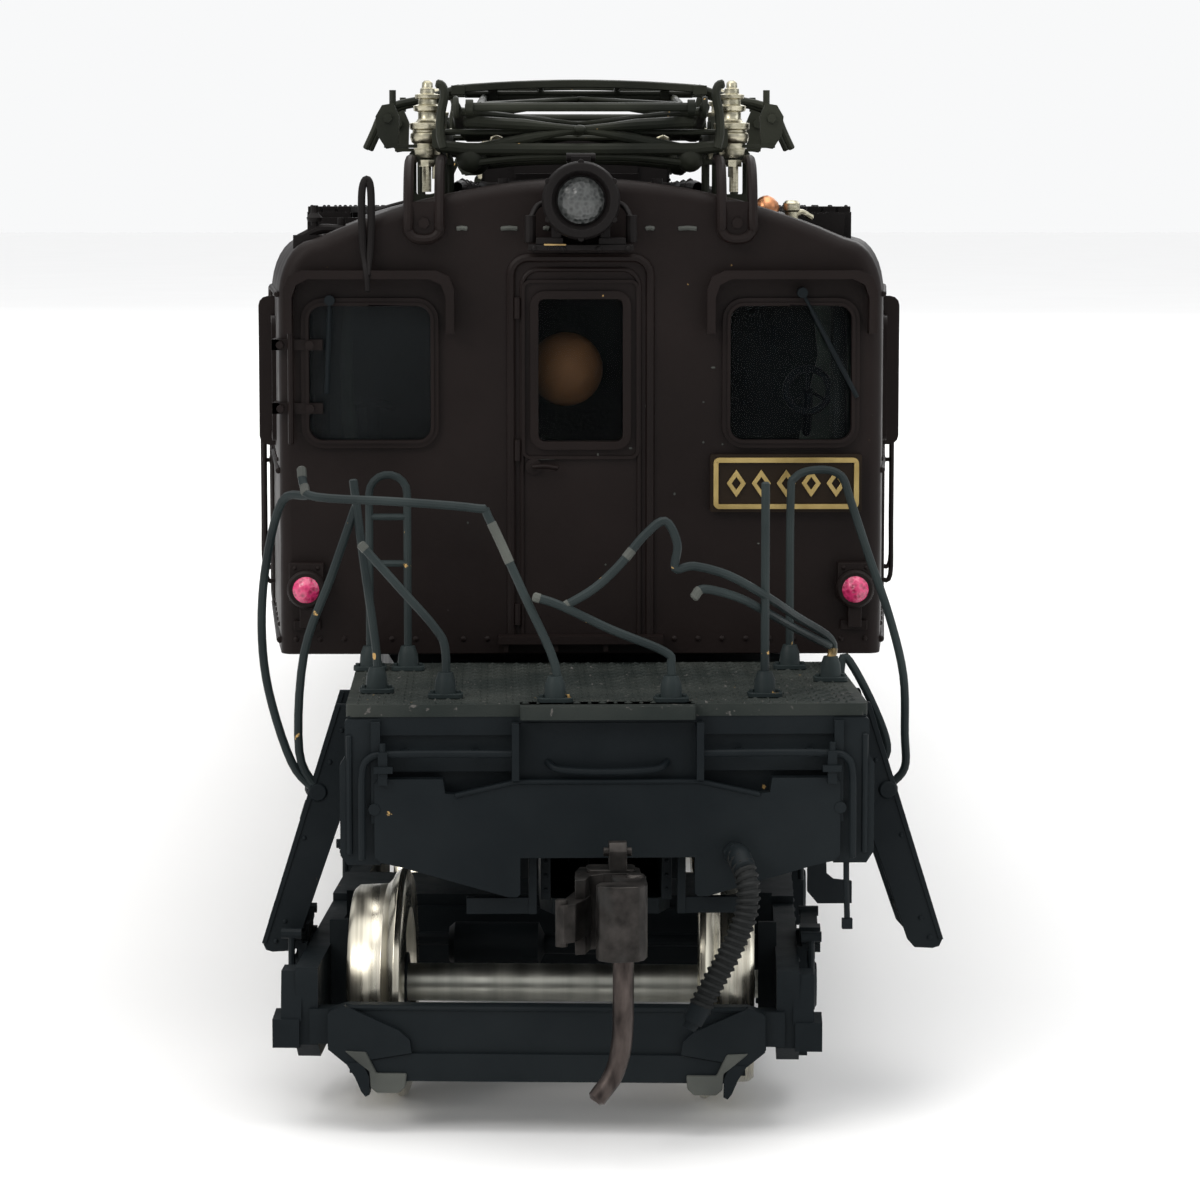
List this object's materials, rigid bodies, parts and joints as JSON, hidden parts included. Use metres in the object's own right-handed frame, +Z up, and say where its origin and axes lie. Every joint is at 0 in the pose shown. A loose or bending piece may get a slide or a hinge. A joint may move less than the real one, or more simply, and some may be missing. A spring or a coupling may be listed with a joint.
{
  "type": "model electric locomotive",
  "caption": "Scale model of a deck-ended electric locomotive on swivelling driving bogies with leading trucks, folding pantographs, knuckle couplers and geared motor drive.",
  "frame": {"origin": "on the ground plane that the wheel flanges stand on, under the middle of the locomotive", "axes": "+Z up, the front end looks along -Y, +X is the right-hand side seen from in front of the front end"},
  "size_m": [0.036, 0.2488, 0.0515],
  "materials": {
    "body_paint": "semi-matt dark grape brown paint on brass",
    "frame_paint": "semi-matt blackish grey paint",
    "roof_metal": "matt dark paint",
    "pantograph_metal": "olive black painted brass",
    "glazing": "clear acrylic",
    "lamp_glass": "clear lens over a grey reflector",
    "tail_lens": "magenta red lens in a painted holder",
    "plate_brass": "etched brass with a brown ground",
    "wheel_steel": "bright nickel silver tyres on dark centres",
    "motor_steel": "drawn steel can",
    "copper_rotor": "wound armature on a steel shaft with a brass pinion",
    "gear_brass": "turned brass worms on a steel shaft",
    "coupler_metal": "browned cast metal",
    "hose_rubber": "black ribbed hose"
  },
  "bodies": {
    "body": {"body_shell": "body_paint", "chassis_floor": "frame_paint", "glazing_left": "glazing", "glazing_right": "glazing", "roof_walkway_left": "roof_metal", "roof_walkway_right": "roof_metal", "roof_ventilator": "body_paint", "front_cab_glazing": "glazing", "front_headlight": "body_paint", "front_headlight_lens": "lamp_glass", "front_tail_lamp_left": "tail_lens", "front_tail_lamp_right": "tail_lens", "front_number_plate": "plate_brass", "front_pantograph_base": "pantograph_metal", "rear_cab_glazing": "glazing", "rear_headlight": "body_paint", "rear_headlight_lens": "lamp_glass", "rear_tail_lamp_left": "tail_lens", "rear_tail_lamp_right": "tail_lens", "rear_number_plate": "plate_brass", "rear_pantograph_base": "pantograph_metal"},
    "front_bogie": {"front_bogie_frame": "frame_paint", "front_motor_can": "motor_steel", "front_end_deck": "frame_paint", "front_brake_hose": "hose_rubber"},
    "front_motor_rotor": {"front_motor_armature": "copper_rotor"},
    "front_worm": {"front_worm_shaft": "gear_brass"},
    "front_driving_axle_1": {"front_driving_wheelset_1": "wheel_steel"},
    "front_driving_axle_2": {"front_driving_wheelset_2": "wheel_steel"},
    "front_driving_axle_3": {"front_driving_wheelset_3": "wheel_steel"},
    "front_truck": {"front_truck_frame": "frame_paint"},
    "front_leading_axle_1": {"front_leading_wheelset_1": "wheel_steel"},
    "front_leading_axle_2": {"front_leading_wheelset_2": "wheel_steel"},
    "front_coupler_body": {"front_coupler": "coupler_metal"},
    "front_knuckle_body": {"front_coupler_knuckle": "coupler_metal"},
    "front_pantograph_lower_outer_arm": {"front_pantograph_lower_outer": "pantograph_metal"},
    "front_pantograph_upper_outer_arm": {"front_pantograph_upper_outer": "pantograph_metal"},
    "front_pantograph_head_body": {"front_pantograph_head": "pantograph_metal"},
    "front_pantograph_lower_inner_arm": {"front_pantograph_lower_inner": "pantograph_metal"},
    "front_pantograph_upper_inner_arm": {"front_pantograph_upper_inner": "pantograph_metal"},
    "rear_bogie": {"rear_bogie_frame": "frame_paint", "rear_motor_can": "motor_steel", "rear_end_deck": "frame_paint", "rear_brake_hose": "hose_rubber"},
    "rear_motor_rotor": {"rear_motor_armature": "copper_rotor"},
    "rear_worm": {"rear_worm_shaft": "gear_brass"},
    "rear_driving_axle_1": {"rear_driving_wheelset_1": "wheel_steel"},
    "rear_driving_axle_2": {"rear_driving_wheelset_2": "wheel_steel"},
    "rear_driving_axle_3": {"rear_driving_wheelset_3": "wheel_steel"},
    "rear_truck": {"rear_truck_frame": "frame_paint"},
    "rear_leading_axle_1": {"rear_leading_wheelset_1": "wheel_steel"},
    "rear_leading_axle_2": {"rear_leading_wheelset_2": "wheel_steel"},
    "rear_coupler_body": {"rear_coupler": "coupler_metal"},
    "rear_knuckle_body": {"rear_coupler_knuckle": "coupler_metal"},
    "rear_pantograph_lower_outer_arm": {"rear_pantograph_lower_outer": "pantograph_metal"},
    "rear_pantograph_upper_outer_arm": {"rear_pantograph_upper_outer": "pantograph_metal"},
    "rear_pantograph_head_body": {"rear_pantograph_head": "pantograph_metal"},
    "rear_pantograph_lower_inner_arm": {"rear_pantograph_lower_inner": "pantograph_metal"},
    "rear_pantograph_upper_inner_arm": {"rear_pantograph_upper_inner": "pantograph_metal"}
  },
  "joints": [
    {"name": "front_bogie_swivel", "type": "hinge", "parent": "body", "child": "front_bogie", "pos_m": [0, -0.047, 0.0188], "axis": [0, 0, 1], "range_deg": [-3.95, 2.05]},
    {"name": "front_motor_spin", "type": "hinge", "parent": "front_bogie", "child": "front_motor_rotor", "pos_m": [-0.00036, -0.025, 0.0227], "axis": [-0.0166, 0.9999, 0], "continuous": true},
    {"name": "front_worm_spin", "type": "hinge", "parent": "front_bogie", "child": "front_worm", "pos_m": [-0.00017, -0.037, 0.014], "axis": [-0.0166, 0.9999, 0], "continuous": true},
    {"name": "front_driving_axle_1_spin", "type": "hinge", "parent": "front_bogie", "child": "front_driving_axle_1", "pos_m": [0.00023, -0.061, 0.0086], "axis": [0.9999, 0.0166, 0], "continuous": true},
    {"name": "front_driving_axle_2_spin", "type": "hinge", "parent": "front_bogie", "child": "front_driving_axle_2", "pos_m": [-0.00016, -0.0375, 0.0086], "axis": [0.9999, 0.0166, 0], "continuous": true},
    {"name": "front_driving_axle_3_spin", "type": "hinge", "parent": "front_bogie", "child": "front_driving_axle_3", "pos_m": [-0.00055, -0.01401, 0.0086], "axis": [0.9999, 0.0166, 0], "continuous": true},
    {"name": "front_truck_swing", "type": "hinge", "parent": "front_bogie", "child": "front_truck", "pos_m": [0.00038, -0.07, 0.0085], "axis": [0, 0, 1], "range_deg": [-0.9, 8.1]},
    {"name": "front_leading_axle_1_spin", "type": "hinge", "parent": "front_truck", "child": "front_leading_axle_1", "pos_m": [-0.00142, -0.10895, 0.00575], "axis": [0.9989, -0.0462, 0], "continuous": true},
    {"name": "front_leading_axle_2_spin", "type": "hinge", "parent": "front_truck", "child": "front_leading_axle_2", "pos_m": [-0.0002, -0.08248, 0.00575], "axis": [0.9989, -0.0462, 0], "continuous": true},
    {"name": "front_coupler_swing", "type": "hinge", "parent": "front_bogie", "child": "front_coupler_body", "pos_m": [0.00102, -0.10849, 0.0122], "axis": [0, 0, 1], "range_deg": [-10, 10], "stiffness_Nm_per_rad": 0.001},
    {"name": "front_knuckle_swing", "type": "hinge", "parent": "front_coupler_body", "child": "front_knuckle_body", "pos_m": [0.00239, -0.12157, 0.012], "axis": [0, 0, 1], "range_deg": [0, 30], "stiffness_Nm_per_rad": 0.0002},
    {"name": "front_pantograph_raise", "type": "hinge", "parent": "body", "child": "front_pantograph_lower_outer_arm", "pos_m": [0, -0.088, 0.049], "axis": [-1, 0, 0], "range_deg": [0, 56]},
    {"name": "front_pantograph_upper_outer_turn", "type": "hinge", "parent": "front_pantograph_lower_outer_arm", "child": "front_pantograph_upper_outer_arm", "pos_m": [0, -0.09897, 0.04977], "axis": [-1, 0, 0], "range_deg": [-112, 0]},
    {"name": "front_pantograph_head_turn", "type": "hinge", "parent": "front_pantograph_upper_outer_arm", "child": "front_pantograph_head_body", "pos_m": [0, -0.088, 0.05053], "axis": [-1, 0, 0], "range_deg": [0, 56]},
    {"name": "front_pantograph_lower_inner_turn", "type": "hinge", "parent": "body", "child": "front_pantograph_lower_inner_arm", "pos_m": [0, -0.085, 0.049], "axis": [1, 0, 0], "range_deg": [0, 56]},
    {"name": "front_pantograph_upper_inner_turn", "type": "hinge", "parent": "front_pantograph_lower_inner_arm", "child": "front_pantograph_upper_inner_arm", "pos_m": [0, -0.07403, 0.04977], "axis": [1, 0, 0], "range_deg": [-112, 0]},
    {"name": "rear_bogie_swivel", "type": "hinge", "parent": "body", "child": "rear_bogie", "pos_m": [0, 0.047, 0.0188], "axis": [0, 0, 1], "range_deg": [-3.95, 2.05]},
    {"name": "rear_motor_spin", "type": "hinge", "parent": "rear_bogie", "child": "rear_motor_rotor", "pos_m": [0.00036, 0.025, 0.0227], "axis": [0.0166, -0.9999, 0], "continuous": true},
    {"name": "rear_worm_spin", "type": "hinge", "parent": "rear_bogie", "child": "rear_worm", "pos_m": [0.00017, 0.037, 0.014], "axis": [0.0166, -0.9999, 0], "continuous": true},
    {"name": "rear_driving_axle_1_spin", "type": "hinge", "parent": "rear_bogie", "child": "rear_driving_axle_1", "pos_m": [-0.00023, 0.061, 0.0086], "axis": [-0.9999, -0.0166, 0], "continuous": true},
    {"name": "rear_driving_axle_2_spin", "type": "hinge", "parent": "rear_bogie", "child": "rear_driving_axle_2", "pos_m": [0.00016, 0.0375, 0.0086], "axis": [-0.9999, -0.0166, 0], "continuous": true},
    {"name": "rear_driving_axle_3_spin", "type": "hinge", "parent": "rear_bogie", "child": "rear_driving_axle_3", "pos_m": [0.00055, 0.01401, 0.0086], "axis": [-0.9999, -0.0166, 0], "continuous": true},
    {"name": "rear_truck_swing", "type": "hinge", "parent": "rear_bogie", "child": "rear_truck", "pos_m": [-0.00038, 0.07, 0.0085], "axis": [0, 0, 1], "range_deg": [-0.9, 8.1]},
    {"name": "rear_leading_axle_1_spin", "type": "hinge", "parent": "rear_truck", "child": "rear_leading_axle_1", "pos_m": [0.00142, 0.10895, 0.00575], "axis": [-0.9989, 0.0462, 0], "continuous": true},
    {"name": "rear_leading_axle_2_spin", "type": "hinge", "parent": "rear_truck", "child": "rear_leading_axle_2", "pos_m": [0.0002, 0.08248, 0.00575], "axis": [-0.9989, 0.0462, 0], "continuous": true},
    {"name": "rear_coupler_swing", "type": "hinge", "parent": "rear_bogie", "child": "rear_coupler_body", "pos_m": [-0.00102, 0.10849, 0.0122], "axis": [0, 0, 1], "range_deg": [-10, 10], "stiffness_Nm_per_rad": 0.001},
    {"name": "rear_knuckle_swing", "type": "hinge", "parent": "rear_coupler_body", "child": "rear_knuckle_body", "pos_m": [-0.00239, 0.12157, 0.012], "axis": [0, 0, 1], "range_deg": [0, 30], "stiffness_Nm_per_rad": 0.0002},
    {"name": "rear_pantograph_raise", "type": "hinge", "parent": "body", "child": "rear_pantograph_lower_outer_arm", "pos_m": [0, 0.088, 0.049], "axis": [1, 0, 0], "range_deg": [0, 56]},
    {"name": "rear_pantograph_upper_outer_turn", "type": "hinge", "parent": "rear_pantograph_lower_outer_arm", "child": "rear_pantograph_upper_outer_arm", "pos_m": [0, 0.09897, 0.04977], "axis": [1, 0, 0], "range_deg": [-112, 0]},
    {"name": "rear_pantograph_head_turn", "type": "hinge", "parent": "rear_pantograph_upper_outer_arm", "child": "rear_pantograph_head_body", "pos_m": [0, 0.088, 0.05053], "axis": [1, 0, 0], "range_deg": [0, 56]},
    {"name": "rear_pantograph_lower_inner_turn", "type": "hinge", "parent": "body", "child": "rear_pantograph_lower_inner_arm", "pos_m": [0, 0.085, 0.049], "axis": [-1, 0, 0], "range_deg": [0, 56]},
    {"name": "rear_pantograph_upper_inner_turn", "type": "hinge", "parent": "rear_pantograph_lower_inner_arm", "child": "rear_pantograph_upper_inner_arm", "pos_m": [0, 0.07403, 0.04977], "axis": [-1, 0, 0], "range_deg": [-112, 0]}
  ],
  "couplings": [
    {"joint": "front_worm_spin", "follows": "front_motor_spin", "ratio": -0.6},
    {"joint": "front_driving_axle_1_spin", "follows": "front_motor_spin", "ratio": 0.04},
    {"joint": "front_driving_axle_2_spin", "follows": "front_motor_spin", "ratio": 0.04},
    {"joint": "front_driving_axle_3_spin", "follows": "front_motor_spin", "ratio": 0.04},
    {"joint": "front_pantograph_upper_outer_turn", "follows": "front_pantograph_raise", "ratio": -2},
    {"joint": "front_pantograph_head_turn", "follows": "front_pantograph_raise", "ratio": 1},
    {"joint": "front_pantograph_lower_inner_turn", "follows": "front_pantograph_raise", "ratio": 1},
    {"joint": "front_pantograph_upper_inner_turn", "follows": "front_pantograph_raise", "ratio": -2},
    {"joint": "rear_worm_spin", "follows": "rear_motor_spin", "ratio": -0.6},
    {"joint": "rear_driving_axle_1_spin", "follows": "rear_motor_spin", "ratio": 0.04},
    {"joint": "rear_driving_axle_2_spin", "follows": "rear_motor_spin", "ratio": 0.04},
    {"joint": "rear_driving_axle_3_spin", "follows": "rear_motor_spin", "ratio": 0.04},
    {"joint": "rear_pantograph_upper_outer_turn", "follows": "rear_pantograph_raise", "ratio": -2},
    {"joint": "rear_pantograph_head_turn", "follows": "rear_pantograph_raise", "ratio": 1},
    {"joint": "rear_pantograph_lower_inner_turn", "follows": "rear_pantograph_raise", "ratio": 1},
    {"joint": "rear_pantograph_upper_inner_turn", "follows": "rear_pantograph_raise", "ratio": -2}
  ]
}
